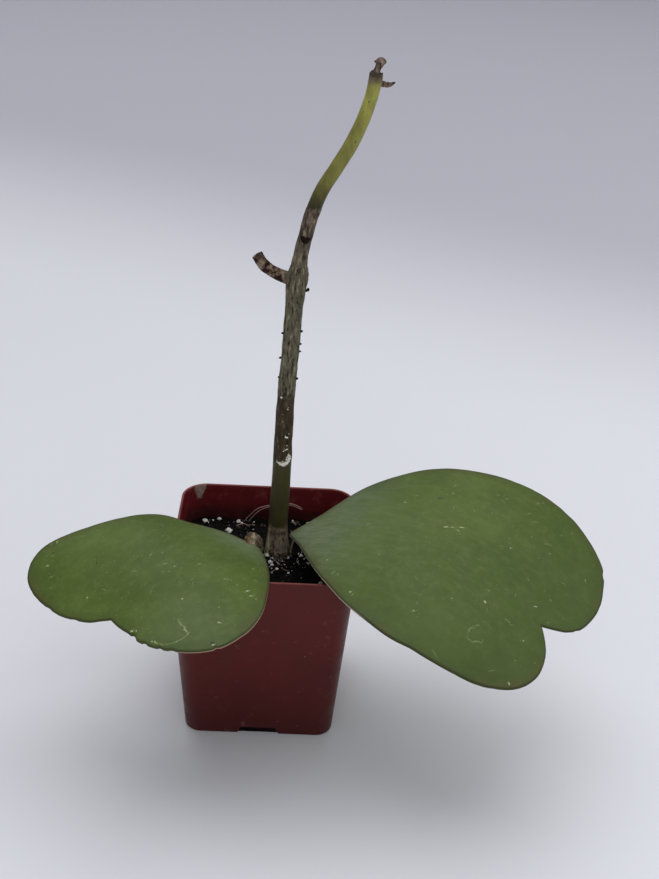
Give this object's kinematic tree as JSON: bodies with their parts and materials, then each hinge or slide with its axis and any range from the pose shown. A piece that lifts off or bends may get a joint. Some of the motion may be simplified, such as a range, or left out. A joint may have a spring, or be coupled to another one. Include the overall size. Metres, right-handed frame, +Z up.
{
  "type": "potted hoya plant",
  "caption": "Bare woody stem and broad heart-shaped fleshy leaves growing from soil in a small square tapered plastic pot.",
  "frame": {"origin": "on the floor under the middle of the pot's square base", "axes": "+Z up along the pot's axis; -Y is the pot's front and +X its right side, and the leaves spread towards -X and +X"},
  "size_m": [0.235, 0.1187, 0.2794],
  "materials": {
    "pot_plastic": "satin red-brown moulded plastic",
    "potting_soil": "dark peat mix with white perlite",
    "stem_bark": "dull grey-brown bark, green towards the tip",
    "leaf_flesh": "smooth semi-matte green leaf skin"
  },
  "bodies": {
    "root": {"pot": "pot_plastic", "soil": "potting_soil", "stem": "stem_bark", "leaf_left": "leaf_flesh", "leaf_right": "leaf_flesh"}
  },
  "joints": []
}
